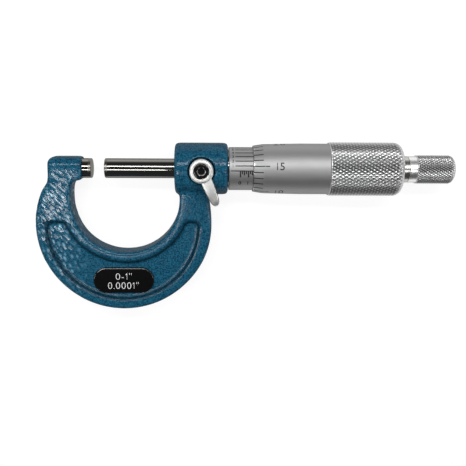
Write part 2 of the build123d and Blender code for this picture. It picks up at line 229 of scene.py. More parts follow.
def make_floor():
    """A plain pale floor, as low as the object reaches. It keeps the shadow, over a white of its own."""
    mesh = bpy.data.meshes.new("floor")
    level = cad_box[0][2]
    half = FLOOR_HALF * MM
    corners = [(-half, -half, level), (half, -half, level), (half, half, level), (-half, half, level)]
    mesh.from_pydata(corners, [], [(0, 1, 2, 3)])
    floor = bpy.data.objects.new("floor", mesh)
    bpy.context.scene.collection.objects.link(floor)
    material = bpy.data.materials.new("floor_white")
    material.use_nodes = True
    tree = material.node_tree
    tree.nodes.clear()
    place = node(tree, "ShaderNodeTexCoord").outputs["Object"]
    middle = (CAMERA_TARGET.x * MM, CAMERA_TARGET.y * MM, level)
    distance = node(tree, "ShaderNodeVectorMath", {"operation": "DISTANCE"})
    tree.links.new(place, distance.inputs[0])
    distance.inputs[1].default_value = middle
    own_light = node(
        tree,
        "ShaderNodeMapRange",
        Value=distance.outputs["Value"],
        From_Min=FLOOR_FADE_START * MM,
        From_Max=FLOOR_FADE_END * MM,
        To_Min=FLOOR_GLOW_NEAR,
        To_Max=FLOOR_GLOW_FAR,
    ).outputs[0]
    strength = maths(tree, "MULTIPLY", own_light, seen_directly(tree))
    glow = node(tree, "ShaderNodeEmission", Strength=strength)
    matt = node(tree, "ShaderNodeBsdfDiffuse", Color=FLOOR_GREY)
    both = node(tree, "ShaderNodeAddShader")
    tree.links.new(glow.outputs[0], both.inputs[0])
    tree.links.new(matt.outputs[0], both.inputs[1])
    node(tree, "ShaderNodeOutputMaterial", Surface=both.outputs[0])
    mesh.materials.append(material)


# ---------------------------------------------------------------- materials
def shader_of(name, colour, roughness, metallic=0.0, **sockets):
    """A new material with its principled shader. Returns the material, its node tree and the shader."""
    material = bpy.data.materials.new(name)
    material.use_nodes = True
    tree = material.node_tree
    shader = tree.nodes["Principled BSDF"]
    shader.inputs["Base Color"].default_value = (*colour, 1.0)
    shader.inputs["Roughness"].default_value = roughness
    shader.inputs["Metallic"].default_value = metallic
    for key, value in sockets.items():
        shader.inputs[key.replace("_", " ")].default_value = value
    return material, tree, shader


def millimetres(tree, stretch=(1.0, 1.0, 1.0)):
    """The place on the object in millimetres, stretched by a factor on each axis."""
    place = node(tree, "ShaderNodeTexCoord").outputs["Object"]
    scale = tuple(value / MM for value in stretch)
    return node(tree, "ShaderNodeMapping", Vector=place, Scale=scale).outputs[0]


NOISE_LOW = 0.3
NOISE_HIGH = 0.7


def noise_at(tree, place, scale, detail):
    return node(tree, "ShaderNodeTexNoise", Vector=place, Scale=scale, Detail=detail).outputs["Fac"]


def spread(tree, value, start, end, low_value, high_value):
    ranged = node(tree, "ShaderNodeMapRange", Value=value, From_Min=start, From_Max=end)
    ranged.inputs["To Min"].default_value = low_value
    ranged.inputs["To Max"].default_value = high_value
    return ranged.outputs[0]


def blend_colours(tree, factor, first, second):
    """The first colour where factor is 0 and the second where it is 1. Each is a colour or an output."""
    mix = node(tree, "ShaderNodeMix", {"data_type": "RGBA"}, Factor=factor)
    for socket, colour in ((mix.inputs[6], first), (mix.inputs[7], second)):
        if isinstance(colour, bpy.types.NodeSocket):
            tree.links.new(colour, socket)
        else:
            socket.default_value = (*colour, 1.0)
    return mix.outputs[2]


def blend_values(tree, factor, first, second):
    mix = node(tree, "ShaderNodeMix", {"data_type": "FLOAT"}, Factor=factor, A=first, B=second)
    return mix.outputs["Result"]


def scale_colour(tree, colour, factor):
    scaled = node(tree, "ShaderNodeVectorMath", {"operation": "SCALE"}, Scale=factor)
    tree.links.new(colour, scaled.inputs[0])
    return scaled.outputs[0]


def attribute(tree, name):
    """The value that the mesh holds for each point under the name, or 0 where it has none."""
    return node(tree, "ShaderNodeAttribute", {"attribute_name": name}).outputs["Fac"]


def bump(tree, shader, height, distance):
    """A bump of the height times the distance in millimetres, linked to the shader's normal."""
    bumped = node(tree, "ShaderNodeBump", Height=height, Distance=distance * MM, Strength=1.0).outputs[0]
    tree.links.new(bumped, shader.inputs["Normal"])
    return bumped


PIGMENT = (0.008, 0.062, 0.115)
PIGMENT_DARK = (0.001, 0.028, 0.062)
PIGMENT_LIGHT = (0.018, 0.130, 0.216)
MOTTLE_SCALE = 0.6
MOTTLE_SHARE = 0.25
GRAIN_SCALE = 2.1
FLAKE_COLOUR = (0.13, 0.27, 0.35)
FLAKE_METAL = 0.7
# near black of the painted shade in the lock's counterbore and along the web's recess
HOLLOW_SHADE_COLOUR = (0.002, 0.003, 0.004)
PEEL_SCALE = 3.4
PEEL_DEPTH = 0.026


def make_enamel():
    """Teal hammertone enamel: pigment and cells of metal flake under a glossy, dimpled skin.

    The mesh's attribute flake says where the cells lie. The fine peel is weaker where hammer is 1, and the
    enamel carries painted shade, dark where the mesh's painted-shade mark is 1: in the lock's counterbore,
    and less so along the web's recess.
    """
    material, tree, shader = shader_of(
        "enamel",
        PIGMENT,
        0.40,
        Specular_IOR_Level=0.0,
        Coat_Weight=0.16,
        Coat_Roughness=0.14,
        Coat_IOR=2.0,
    )
    place = millimetres(tree)
    mottle = spread(tree, noise_at(tree, place, MOTTLE_SCALE, 2.0), 0.32, 0.68, 0.0, 1.0)
    grain = spread(tree, noise_at(tree, place, GRAIN_SCALE, 1.0), 0.38, 0.62, 0.0, 1.0)
    mottle = maths(tree, "MULTIPLY", mottle, MOTTLE_SHARE)
    grain = maths(tree, "MULTIPLY", grain, 1.0 - MOTTLE_SHARE)
    pigment = blend_colours(tree, maths(tree, "ADD", mottle, grain), PIGMENT_DARK, PIGMENT_LIGHT)
    cells = attribute(tree, "flake")
    tree.links.new(maths(tree, "MULTIPLY", cells, FLAKE_METAL), shader.inputs["Metallic"])
    colour = blend_colours(tree, cells, pigment, FLAKE_COLOUR)
    depth = spread(tree, attribute(tree, "hammer"), 0.0, 1.0, PEEL_DEPTH, 0.0)
    peel = maths(tree, "MULTIPLY", noise_at(tree, place, PEEL_SCALE, 0.0), depth)
    bumped = bump(tree, shader, peel, 1.0)
    tree.links.new(bumped, shader.inputs["Coat Normal"])
    # painted shade: darkest in the lock's counterbore, weaker along the web's recess
    colour = blend_colours(tree, attribute(tree, "hollow_shade"), colour, HOLLOW_SHADE_COLOUR)
    tree.links.new(colour, shader.inputs["Base Color"])
    return material


KNURL_FLOOR = 0.2
# GROOVE_SHADE darkens the metal where groove is 1: dirt and painted shade in the knurls, painted shade on
# the thimble's edge and the lever's sides
GROOVE_SHADE = 0.35
KNURL_SHINE = 2.35
RING_STRETCH = (1.0, 0.02, 0.02)
RING_SHARE = 0.6
TURNED_SHADE = 0.9
PLAIN_SHADE = 0.88
PLAIN_VARIATION = 0.15
PLAIN_GRAIN_DEPTH = 0.0008
PAINT_SHADE = 0.8


def make_turned_metal(name, colour, roughness, line_depth, tint, variation=0.05, knurled_roughness=None):
    """Metal finished on a lathe round the X axis, with fine lines round it.

    Where the mesh has the attribute groove, from KNURL_FLOOR on a knurl's points to 1 in its grooves, the
    metal has its own roughness and darkens towards the grooves, dirt in the grooves together with painted
    shade. The same attribute paints shade on the thimble's front edge and in its bore.
    """
    material, tree, shader = shader_of(name, colour, roughness, 1.0)
    shader.inputs["Specular Tint"].default_value = (*tint, 1.0)
    rings = noise_at(tree, millimetres(tree, RING_STRETCH), 9.0, 3.0)
    cloud = noise_at(tree, millimetres(tree), 0.35, 2.0)
    ring_part = maths(tree, "MULTIPLY", rings, RING_SHARE)
    cloud_part = maths(tree, "MULTIPLY", cloud, 1.0 - RING_SHARE)
    level = maths(tree, "ADD", ring_part, cloud_part)
    rough = spread(tree, level, NOISE_LOW, NOISE_HIGH, roughness - variation, roughness + variation)
    darker = tuple(value * TURNED_SHADE for value in colour)
    tone = blend_colours(tree, rings, darker, colour)
    if knurled_roughness:
        groove = attribute(tree, "groove")
        inside = spread(tree, groove, 0.0, KNURL_FLOOR, 0.0, 1.0)
        rough = blend_values(tree, inside, rough, knurled_roughness)
        # dirt and painted shade: the colour runs from KNURL_SHINE on the points to GROOVE_SHADE deep in the
        # grooves
        dirt_and_shade = spread(tree, groove, KNURL_FLOOR, 1.0, KNURL_SHINE, GROOVE_SHADE)
        tone = scale_colour(tree, tone, blend_values(tree, inside, 1.0, dirt_and_shade))
    tree.links.new(rough, shader.inputs["Roughness"])
    tree.links.new(tone, shader.inputs["Base Color"])
    bump(tree, shader, rings, line_depth)
    return material


def make_plain_metal(name, colour, roughness, tint=(1.0, 1.0, 1.0)):
    """Metal with a fine even grain, such as a plated or blasted piece. Where groove is 1 its colour is
    darker: painted shade on the lever blade's sides.
    """
    material, tree, shader = shader_of(name, colour, roughness, 1.0)
    shader.inputs["Specular Tint"].default_value = (*tint, 1.0)
    fine = noise_at(tree, millimetres(tree), 6.0, 3.0)
    cloud = noise_at(tree, millimetres(tree), 0.5, 2.0)
    least = roughness * (1.0 - PLAIN_VARIATION)
    most = roughness * (1.0 + PLAIN_VARIATION)
    tree.links.new(spread(tree, cloud, NOISE_LOW, NOISE_HIGH, least, most), shader.inputs["Roughness"])
    darker = tuple(value * PLAIN_SHADE for value in colour)
    level = spread(tree, attribute(tree, "groove"), 0.0, 1.0, 1.0, GROOVE_SHADE)
    tone = scale_colour(tree, blend_colours(tree, fine, darker, colour), level)
    tree.links.new(tone, shader.inputs["Base Color"])
    bump(tree, shader, fine, PLAIN_GRAIN_DEPTH)
    return material


def make_oxide():
    """Oiled black oxide of the lock's screw."""
    material, tree, shader = shader_of(
        "black_oxide",
        (0.004, 0.004, 0.005),
        0.20,
        Specular_IOR_Level=0.05,
        Coat_Weight=0.8,
        Coat_Roughness=0.05,
        Coat_IOR=1.8,
    )
    fine = noise_at(tree, millimetres(tree), 5.0, 3.0)
    tree.links.new(spread(tree, fine, NOISE_LOW, NOISE_HIGH, 0.15, 0.30), shader.inputs["Roughness"])
    bump(tree, shader, fine, 0.003)
    return material


def make_label_black():
    """Glossy black lacquer of the label plate."""
    material, tree, shader = shader_of(
        "label_black",
        (0.0006, 0.0008, 0.0012),
        0.25,
        Specular_IOR_Level=0.05,
        Coat_Weight=1.0,
        Coat_Roughness=0.03,
        Coat_IOR=1.6,
    )
    dust = noise_at(tree, millimetres(tree), 2.0, 4.0)
    tree.links.new(spread(tree, dust, NOISE_LOW, NOISE_HIGH, 0.2, 0.32), shader.inputs["Roughness"])
    return material


def make_paint(name, colour, roughness):
    """Flat filling paint of marks and letters, slightly uneven."""
    material, tree, shader = shader_of(name, colour, roughness)
    patches = noise_at(tree, millimetres(tree), 3.0, 3.0)
    darker = tuple(value * PAINT_SHADE for value in colour)
    tree.links.new(blend_colours(tree, patches, darker, colour), shader.inputs["Base Color"])
    return material


def make_materials():
    return {
        "enamel": make_enamel(),
        "satin_chrome": make_turned_metal(
            "satin_chrome", (0.41, 0.415, 0.41), 0.54, 0.0008, (0.4, 0.4, 0.4), knurled_roughness=0.32
        ),
        "bright_chrome": make_turned_metal(
            "bright_chrome", (0.62, 0.615, 0.59), 0.24, 0.0006, (0.5, 0.5, 0.5), variation=0.03
        ),
        "polished_steel": make_turned_metal(
            "polished_steel", (0.27, 0.265, 0.25), 0.06, 0.0001, (0.2, 0.2, 0.2), variation=0.02
        ),
        "hard_metal": make_plain_metal("hard_metal", (0.22, 0.215, 0.195), 0.28, tint=(0.5, 0.5, 0.5)),
        "label_black": make_label_black(),
        "lever_chrome": make_plain_metal("lever_chrome", (0.88, 0.885, 0.865), 0.44),
        "black_oxide": make_oxide(),
        "spring_steel": make_plain_metal("spring_steel", (0.42, 0.42, 0.42), 0.25),
        "shoe_brass": make_plain_metal("shoe_brass", (0.55, 0.40, 0.14), 0.3),
        "black_paint": make_paint("black_paint", (0.008, 0.008, 0.008), 0.6),
        "white_paint": make_paint("white_paint", (0.95, 0.95, 0.93), 0.6),
    }


# ---------------------------------------------------------------- mesh helpers
def new_piece(name, mesh, material, body):
    """A finished piece that moves with a body."""
    piece = bpy.data.objects.new(name, mesh)
    bpy.context.scene.collection.objects.link(piece)
    mesh.materials.clear()
    mesh.materials.append(material)
    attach(piece, body)
    return piece


def smooth(mesh):
    mesh.polygons.foreach_set("use_smooth", [True] * len(mesh.polygons))


def around(x, radius, angle):
    """A point, in metres, on a circle about the X axis. The angle runs from +Z towards +Y."""
    return Vector((x * MM, radius * math.sin(angle) * MM, radius * math.cos(angle) * MM))


def lathe(name, profile, segments, relief=None, depth=0.0):
    """A closed turned mesh from a loop of (x, radius, share) points, in millimetres.

    The surface lies below the profile by relief(x, turn), from 0 to 1, times depth and the point's share. A
    share of 0 or less leaves the surface where it is, and minus the share is its value of groove.
    """
    mesh = bpy.data.meshes.new(name)
    points = []
    grooves = []
    for x, radius, share in profile:
        for index in range(segments):
            turn = index / segments
            below = relief(x, turn) * share if share > 0 else 0.0
            points.append(around(x, radius - below * depth, math.tau * turn))
            grooves.append(KNURL_FLOOR + (1 - KNURL_FLOOR) * below if share > 0 else -share)
    faces = []
    rows = len(profile)
    shares = [share for _, _, share in profile]
    for row in range(rows):
        after = (row + 1) % rows
        for index in range(segments):
            beside = (index + 1) % segments
            a = row * segments + index
            b = row * segments + beside
            c = after * segments + beside
            d = after * segments + index
            if shares[row] or shares[after]:
                rise = points[a].yz.length + points[c].yz.length - points[b].yz.length - points[d].yz.length
                if rise <= 0:
                    faces += [(a, b, c), (a, c, d)]
                else:
                    faces += [(a, b, d), (b, c, d)]
            else:
                faces.append((a, b, c, d))
    mesh.from_pydata(points, [], faces)
    shaper = bmesh.new()
    shaper.from_mesh(mesh)
    bmesh.ops.recalc_face_normals(shaper, faces=shaper.faces)
    shaper.to_mesh(mesh)
    shaper.free()
    mesh.attributes.new("groove", "FLOAT", "POINT").data.foreach_set("value", grooves)
    return mesh


def shade_by_angle(mesh, degrees):
    """Smooth shading with crisp edges where two faces meet at more than the angle."""
    smooth(mesh)
    shaper = bmesh.new()
    shaper.from_mesh(mesh)
    for edge in shaper.edges:
        sharp = len(edge.link_faces) != 2 or edge.calc_face_angle(0.0) > math.radians(degrees)
        edge.smooth = not sharp
    shaper.to_mesh(mesh)
    shaper.free()


GROOVE_WIDTH = 0.82
# mesh steps from one groove to the next, along the knurl and round it
KNURL_STEPS = 4


def diamond_knurl(starts, pitch):
    """The relief of crossed helical grooves at (x, turn), from 0 on the points to 1 in the grooves."""

    def relief(x, turn):
        first = abs((starts * turn + x / pitch) % 1.0 - 0.5) * 2
        second = abs((starts * turn - x / pitch) % 1.0 - 0.5) * 2
        return max(0.0, 1.0 - min(1.0 - first, 1.0 - second) / GROOVE_WIDTH)

    return relief


def knurl_rows(start, end, radius, end_radius, step, last, rim, least):
    """The profile of a knurl with a rounded end. Its rows lie on the multiples of step from start on.

    They stop at the distance last from the end, and a plain row follows at the distance rim. Round the end
    the knurl gets shallower, down to the share least.
    """
    corner = end - end_radius
    rows = []
    row = math.ceil(start / step)
    while row * step < end - last:
        along = row * step - corner
        if along < 0:
            rows.append((row * step, radius, 1.0))
        else:
            sunk = radius - end_radius + math.sqrt(end_radius**2 - along**2)
            rows.append((row * step, sunk, max(least, 1.0 - along / end_radius)))
        row += 1
    along = end - rim - corner
    rows.append((end - rim, radius - end_radius + math.sqrt(end_radius**2 - along**2), 0.0))
    return rows


# ---------------------------------------------------------------- frame casting
VOXEL = 0.30
WEB_CENTRE = Vector((9.8, -18.2))
WEB_OUTER_RADIUS = 24.45
THROAT_CENTRE = Vector((10.6, -9.5))
WEB_INNER_RADIUS = 20.8
WEB_TOP = -16.9
WEB_FACES_FROM = 1.0
WEB_SOFT_WIDTH = 1.9
WEB_SOFT_MOST = 0.6
WEB_EDGE_START = 0.8
WEB_EDGE_END = 2.2
HAMMER_DEPTH = 0.14
# shares of HAMMER_DEPTH: where the enamel isn't hammered, and where the surface faces sideways
SMOOTH_DEPTH = 0.2
FLANK_DEPTH = 0.3
HAMMER_FULL_X = -10.0
HAMMER_END_X = 2.0
HAMMER_FADE_Y = -5.0
HAMMER_TOP_Y = 2.0
HAMMER_TOP_LOSS = 0.85
CELL_TURN = math.radians(-32.0)
CELL_WIDTH = 1.2
CELL_LENGTH = 2.2
FLAKE_END = 0.2
PATCH_SCALE = 0.4
PATCH_NOISE = 0.35
PATCH_LEAST = 0.3
LOCK_X = (low("lock_screw").x + high("lock_screw").x) / 2
COUNTERBORE_RADIUS = 4.3
COUNTERBORE_EDGE = 0.25
LOCK_EDGE_END = 6.5
LEAN_UNTIL = 5.0
ARM_LEAN_START = -24.0
ARM_LEAN_END = -13.0
ARM_LEAN_GROWTH = 0.03
BLOCK_LEAN_START = -8.0
BLOCK_LEAN_END = -1.5
BLOCK_LEAN = 0.75
BLOCK_LEAN_GROWTH = 0.02
BLOCK_CROWN_START = 0.6
BLOCK_CROWN = 0.15
BLOCK_EDGE_START = 2.5
BLOCK_ROUNDS = 10
FINE_FROM = 0.3
RELAX = 0.5
CAST_ROUNDS = 3
FINE_ROUNDS = 3
EDGE_ROUNDS = 14
WEB_ROUNDS = 5
# strength of the painted shade along the outline of the web's recess, and the distances over which it fades
RECESS_SHADE = 0.5
RECESS_SHADE_START = 0.3
RECESS_SHADE_END = 1.2


def web_edge_distance(place):
    """Distance in the XY plane from the outline of the web's recess."""
    flat = place.xy
    outer = WEB_OUTER_RADIUS - (flat - WEB_CENTRE).length
    inner = (flat - THROAT_CENTRE).length - WEB_INNER_RADIUS
    return abs(min(outer, inner, WEB_TOP - flat.y))


def lock_distance(place):
    """Distance in the XY plane from the middle of the lock."""
    return math.hypot(place.x - LOCK_X, place.y)


def ramp(value, start, end):
    """A smooth step from 0 at start to 1 at end."""
    share = min(1.0, max(0.0, (value - start) / (end - start)))
    return share * share * (3 - 2 * share)


def hammer_share(place):
    """How strongly the enamel is hammered: 1 on the bow's left arm, less towards its middle and its top."""
    top = ramp(place.y, HAMMER_FADE_Y, HAMMER_TOP_Y)
    return ramp(-place.x, -HAMMER_END_X, -HAMMER_FULL_X) * (1.0 - HAMMER_TOP_LOSS * top)


def hammer_cell(place):
    """The squared distance, in cells, from the middle of the hammered cell that a place is in."""
    across = place.x * math.cos(CELL_TURN) - place.y * math.sin(CELL_TURN)
    along = place.x * math.sin(CELL_TURN) + place.y * math.cos(CELL_TURN)
    scaled = Vector((across / CELL_WIDTH, along / CELL_LENGTH, place.z / CELL_WIDTH))
    distances, _ = noise.voronoi(scaled, distance_metric="DISTANCE_SQUARED")
    return distances[0]


def relax(mesh, weights, rounds):
    """Moves each vertex towards the middle of its neighbours by its own weight, once in each round."""
    count = len(mesh.vertices)
    neighbours = [[] for _ in range(count)]
    for edge in mesh.edges:
        first, second = edge.vertices
        neighbours[first].append(second)
        neighbours[second].append(first)
    places = [vertex.co.copy() for vertex in mesh.vertices]
    moving = [index for index in range(count) if weights[index] > 0]
    for _ in range(rounds):
        moved = []
        for index in moving:
            near = neighbours[index]
            middle = Vector()
            for other in near:
                middle += places[other]
            moved.append(places[index].lerp(middle / len(near), weights[index]))
        for index, place in zip(moving, moved):
            places[index] = place
    for vertex, place in zip(mesh.vertices, places):
        vertex.co = place


def on_block(place):
    """Whether a place is on the anvil's block, which is rounder than the rest of the bow."""
    return place.x < LEAN_UNTIL and place.y > BLOCK_EDGE_START


def divide_hammered(mesh):
    """Divides each face of the hammered arm in four, and smooths the finer mesh."""
    shaper = bmesh.new()
    shaper.from_mesh(mesh)
    fine = {vertex for vertex in shaper.verts if hammer_share(vertex.co / MM) > FINE_FROM}
    hammered = [edge for edge in shaper.edges if fine.issuperset(edge.verts)]
    bmesh.ops.subdivide_edges(shaper, edges=hammered, cuts=1, use_grid_fill=True)
    shaper.to_mesh(mesh)
    shaper.free()
    weights = [RELAX * ramp(hammer_share(vertex.co / MM), FINE_FROM, 1.0) for vertex in mesh.vertices]
    relax(mesh, weights, FINE_ROUNDS)


def voxel_frame():
    """The frame's solid as an even mesh of small squares, which can be rounded and hammered."""
    source = parts["frame"].data.copy()
    shaper = bmesh.new()
    shaper.from_mesh(source)
    bmesh.ops.remove_doubles(shaper, verts=shaper.verts, dist=0.001 * MM)
    shaper.to_mesh(source)
    shaper.free()
    rough = bpy.data.objects.new("frame_rough", source)
    bpy.context.scene.collection.objects.link(rough)
    remesh = rough.modifiers.new("voxels", "REMESH")
    remesh.mode = "VOXEL"
    remesh.voxel_size = VOXEL * MM
    evaluated = rough.evaluated_get(bpy.context.evaluated_depsgraph_get())
    mesh = bpy.data.meshes.new_from_object(evaluated)
    mesh.name = "frame_casting"
    bpy.data.objects.remove(rough)
    return mesh


def lean_and_crown(mesh):
    """Leans the left arm and its block inwards, and makes the block thinner towards its top."""
    left = low("frame").x
    block_half = max(vertex.co.z for vertex in mesh.vertices if on_block(vertex.co / MM))
    for vertex in mesh.vertices:
        place = vertex.co / MM
        if place.x < LEAN_UNTIL:
            crown = BLOCK_CROWN * max(0.0, place.y - BLOCK_CROWN_START) ** 2
            vertex.co.z *= 1.0 - crown * MM / block_half
            across = place.x - left
            arm = ramp(place.y, ARM_LEAN_START, ARM_LEAN_END) * ARM_LEAN_GROWTH * across
            block = ramp(place.y, BLOCK_LEAN_START, BLOCK_LEAN_END)
            vertex.co.x += (arm + block * (BLOCK_LEAN + BLOCK_LEAN_GROWTH * across)) * MM


def round_edges(mesh):
    """Rounds the casting: a little everywhere, more at the web's recess, most away from it and the lock."""
    soft = []
    edges = []
    for vertex in mesh.vertices:
        place = vertex.co / MM
        from_web = web_edge_distance(place)
        near = max(0.0, 1.0 - from_web / WEB_SOFT_WIDTH) if abs(place.z) > WEB_FACES_FROM else 0.0
        soft.append(min(WEB_SOFT_MOST, near))
        clear_of_web = ramp(from_web, WEB_EDGE_START, WEB_EDGE_END)
        edges.append(RELAX * clear_of_web * ramp(lock_distance(place), COUNTERBORE_RADIUS, LOCK_EDGE_END))
    relax(mesh, [RELAX] * len(soft), CAST_ROUNDS)
    relax(mesh, soft, WEB_ROUNDS)
    relax(mesh, edges, EDGE_ROUNDS)
    relax(mesh, [RELAX if on_block(vertex.co / MM) else 0.0 for vertex in mesh.vertices], BLOCK_ROUNDS)


def hammer_enamel(mesh):
    """Sinks a dish in each cell, deepest on the faces of the left arm, and lays its flakes there."""
    normals = [vertex.normal.copy() for vertex in mesh.vertices]
    hammers = []
    flakes = []
    for vertex, normal in zip(mesh.vertices, normals):
        place = vertex.co / MM
        cell = hammer_cell(place)
        hammer = hammer_share(place)
        strength = SMOOTH_DEPTH + (1.0 - SMOOTH_DEPTH) * hammer
        strength *= FLANK_DEPTH + (1.0 - FLANK_DEPTH) * abs(normal.z)
        patch = ramp(noise.noise(place * PATCH_SCALE), -PATCH_NOISE, PATCH_NOISE)
        patch = PATCH_LEAST + (1.0 - PATCH_LEAST) * patch
        hammers.append(hammer)
        flakes.append(hammer * patch * (1.0 - ramp(cell, 0.0, FLAKE_END)))
        vertex.co = vertex.co - normal * HAMMER_DEPTH * strength * max(0.0, 1.0 - cell) * MM
    mesh.attributes.new("hammer", "FLOAT", "POINT").data.foreach_set("value", hammers)
    mesh.attributes.new("flake", "FLOAT", "POINT").data.foreach_set("value", flakes)


def shade_hollows(mesh):
    """Paints shade into the lock's counterbore, nearly black, and a weaker painted shade along the outline
    of the web's recess.
    """
    hollow_shades = []
    for vertex in mesh.vertices:
        place = vertex.co / MM
        inside = COUNTERBORE_RADIUS - lock_distance(place)
        if inside > 0 and place.z > 0:
            hollow_shades.append(min(1.0, inside / COUNTERBORE_EDGE))
        else:
            clear_of_web = ramp(web_edge_distance(place), RECESS_SHADE_START, RECESS_SHADE_END)
            hollow_shades.append(RECESS_SHADE * (1.0 - clear_of_web))
    mesh.attributes.new("hollow_shade", "FLOAT", "POINT").data.foreach_set("value", hollow_shades)


def make_frame_casting(material):
    mesh = voxel_frame()
    lean_and_crown(mesh)
    round_edges(mesh)
    divide_hammered(mesh)
    smooth(mesh)
    hammer_enamel(mesh)
    shade_hollows(mesh)
    piece = new_piece("frame_casting", mesh, material, "root")
    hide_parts("frame")


# ---------------------------------------------------------------- thimble with its knurled grip
BEVEL_LENGTH = 3.3
SWELL_LENGTH = 12.0
GRIP_START = 24.3
GRIP_CHAMFER = 0.5
GRIP_CHAMFER_RISE = 0.3
GRIP_END_RADIUS = 2.6
GRIP_END_STEP = 0.2
THIMBLE_BORE = 7.2
THIMBLE_EDGE_RADIUS = 7.45
THIMBLE_FRONT_RADIUS = 7.95
THIMBLE_RADIUS = 8.2
THIMBLE_CAVITY_END = 7.9
THIMBLE_BORE_CHAMFER = 0.05
THIMBLE_EDGE_CHAMFER = 0.1
THIMBLE_LIP = 0.12
THIMBLE_LIP_END = 2.2 * THIMBLE_LIP
THIMBLE_LIP_RISE = 0.02
THIMBLE_LIP_SHADE = 0.9
BEVEL_ROUND = 0.3
SEAT_RADIUS = 3.01
SEAT_MOUTH_RADIUS = 3.1
GRIP_STARTS = 48
GRIP_PITCH = 1.95
GRIP_DEPTH = 0.215
GRIP_LAST = 0.35
GRIP_RIM = 0.18
CREASE = 8.0


def thimble_radius_at(x):
    """The thimble's outer radius at x, along its bevel, its slow swell and its plain length."""
    edge = low("thimble").x
    stations = [
        (edge, THIMBLE_EDGE_RADIUS),
        (edge + BEVEL_LENGTH, THIMBLE_FRONT_RADIUS),
        (edge + BEVEL_LENGTH + SWELL_LENGTH, THIMBLE_RADIUS),
        (edge + GRIP_START, THIMBLE_RADIUS),
    ]
    for (x0, r0), (x1, r1) in zip(stations, stations[1:]):
        if x <= x1:
            return r0 + (r1 - r0) * (x - x0) / (x1 - x0)
    return THIMBLE_RADIUS


def make_thimble(material):
    edge = low("thimble").x
    end = high("thimble").x
    grip_radius = high("thimble").z
    grip_start = edge + GRIP_START
    bevel_end = edge + BEVEL_LENGTH
    cavity = end - THIMBLE_CAVITY_END
    profile = [
        # a share of -1 on the front face and in the bore, and -THIMBLE_LIP_SHADE at the lip, paint them
        # dark: painted shade in the gap to the sleeve
        (edge, THIMBLE_BORE + THIMBLE_BORE_CHAMFER, -1.0),
        (edge, THIMBLE_EDGE_RADIUS - THIMBLE_EDGE_CHAMFER, -1.0),
        (edge + THIMBLE_LIP, THIMBLE_EDGE_RADIUS, -THIMBLE_LIP_SHADE),
        (edge + THIMBLE_LIP_END, THIMBLE_EDGE_RADIUS + THIMBLE_LIP_RISE, 0.0),
        (bevel_end - BEVEL_ROUND, thimble_radius_at(bevel_end - BEVEL_ROUND), 0.0),
        (bevel_end + BEVEL_ROUND, thimble_radius_at(bevel_end + BEVEL_ROUND), 0.0),
        (bevel_end + SWELL_LENGTH, THIMBLE_RADIUS, 0.0),
        (grip_start, THIMBLE_RADIUS, 0.0),
        (grip_start + GRIP_CHAMFER / 2, THIMBLE_RADIUS + GRIP_CHAMFER_RISE, 0.0),
        *knurl_rows(
            grip_start + GRIP_CHAMFER,
            end,
            grip_radius,
            GRIP_END_RADIUS,
            GRIP_PITCH / KNURL_STEPS,
            last=GRIP_LAST,
            rim=GRIP_RIM,
            least=0.0,
        ),
        (end, grip_radius - GRIP_END_RADIUS - GRIP_END_STEP, 0.0),
        (end, SEAT_RADIUS, 0.0),
        (cavity, SEAT_MOUTH_RADIUS, 0.0),
        (cavity, THIMBLE_BORE, -1.0),
        (edge + THIMBLE_BORE_CHAMFER, THIMBLE_BORE, -1.0),
    ]
    relief = diamond_knurl(GRIP_STARTS, GRIP_PITCH)
    mesh = lathe("thimble_body", profile, KNURL_STEPS * GRIP_STARTS, relief, GRIP_DEPTH)
    shade_by_angle(mesh, CREASE)
    piece = new_piece("thimble_body", mesh, material, "thimble_group")
    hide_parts("thimble")


# ---------------------------------------------------------------- ratchet knob
KNOB_COLLAR_RADIUS = 4.27
KNOB_COLLAR_LENGTH = 2.4
KNOB_CHAMFER = 0.4
KNOB_CHAMFER_RISE = 0.22
KNOB_END_RADIUS = 1.8
KNOB_BORE = 3.6
KNOB_WEB_START = 8.0
KNOB_WEB = 1.6
KNOB_SHAFT_BORE = 1.8
KNOB_RECESS = 2.5
KNOB_STARTS = 36
KNOB_PITCH = 1.42
KNOB_DEPTH = 0.21
KNOB_LIP = 0.05
KNOB_LAST = 0.3
KNOB_RIM = 0.12
KNOB_LEAST = 0.25


def make_ratchet_knob(material):
    start = low("ratchet_knob").x
    end = high("ratchet_knob").x
    knob_radius = high("ratchet_knob").z
    grip_start = start + KNOB_COLLAR_LENGTH
    web = grip_start + KNOB_WEB_START
    profile = [
        (start, KNOB_BORE, 0.0),
        (start, KNOB_COLLAR_RADIUS - KNOB_LIP, -KNURL_FLOOR),
        (start + KNOB_LIP, KNOB_COLLAR_RADIUS, -KNURL_FLOOR),
        (grip_start, KNOB_COLLAR_RADIUS, -KNURL_FLOOR),
        (grip_start + KNOB_CHAMFER / 2, KNOB_COLLAR_RADIUS + KNOB_CHAMFER_RISE, 0.0),
        *knurl_rows(
            grip_start + KNOB_CHAMFER,
            end,
            knob_radius,
            KNOB_END_RADIUS,
            KNOB_PITCH / KNURL_STEPS,
            last=KNOB_LAST,
            rim=KNOB_RIM,
            least=KNOB_LEAST,
        ),
        (end, knob_radius - KNOB_END_RADIUS, 0.0),
        (end, KNOB_RECESS, 0.0),
        (web + KNOB_WEB, KNOB_RECESS, 0.0),
        (web + KNOB_WEB, KNOB_SHAFT_BORE, 0.0),
        (web, KNOB_SHAFT_BORE, 0.0),
        (web, KNOB_BORE, 0.0),
    ]
    relief = diamond_knurl(KNOB_STARTS, KNOB_PITCH)
    mesh = lathe("ratchet_knob_body", profile, KNURL_STEPS * KNOB_STARTS, relief, KNOB_DEPTH)
    shade_by_angle(mesh, CREASE)
    piece = new_piece("ratchet_knob_body", mesh, material, "ratchet_group")
    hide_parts("ratchet_knob")


